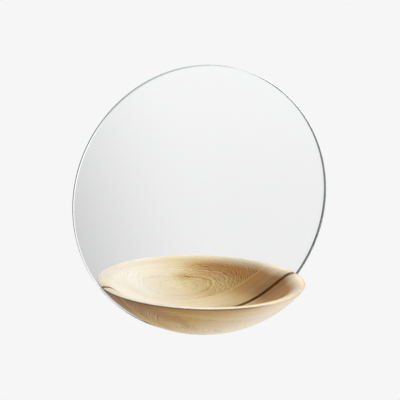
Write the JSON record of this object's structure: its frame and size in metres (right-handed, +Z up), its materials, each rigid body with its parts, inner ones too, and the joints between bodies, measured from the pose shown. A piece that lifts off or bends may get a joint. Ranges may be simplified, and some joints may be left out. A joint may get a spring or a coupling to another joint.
{
  "type": "mirror with shelf",
  "caption": "Round frameless wall mirror with half of a turned wooden bowl fixed to its front as a shelf; the reflection completes the bowl.",
  "frame": {"origin": "centre of the round mirror, on the wall plane, which is the rear face of the back board", "axes": "+X to the viewer's right, +Y into the wall, +Z up; the half bowl stands out towards -Y"},
  "size_m": [0.32, 0.1354, 0.32],
  "materials": {
    "clear_glass": "polished float glass",
    "silvering": "silvered",
    "safety_film": "satin film",
    "bowl_wood": "turned and oiled, fine grain",
    "clear_gasket": "clear silicone, takes the colour of the wood",
    "insert_brass": "turned",
    "nylon": "natural nylon",
    "screw_steel": "zinc plated",
    "fibre_board": "sealed fibre board",
    "foam_tape": "closed-cell foam",
    "plated_steel": "zinc plated, stamped"
  },
  "bodies": {
    "root": {"glass_pane": "clear_glass", "silver_layer": "silvering", "backing_film": "safety_film", "bowl_outer_board": "bowl_wood", "bowl_inner_board": "bowl_wood", "bowl_gasket": "clear_gasket", "bowl_inserts": "insert_brass", "glass_sleeves": "nylon", "bowl_screws": "screw_steel", "bowl_washers": "screw_steel", "back_board": "fibre_board", "board_tape": "foam_tape", "hanger_plate_left": "plated_steel", "hanger_plate_right": "plated_steel", "hanger_screws": "screw_steel"}
  },
  "joints": []
}
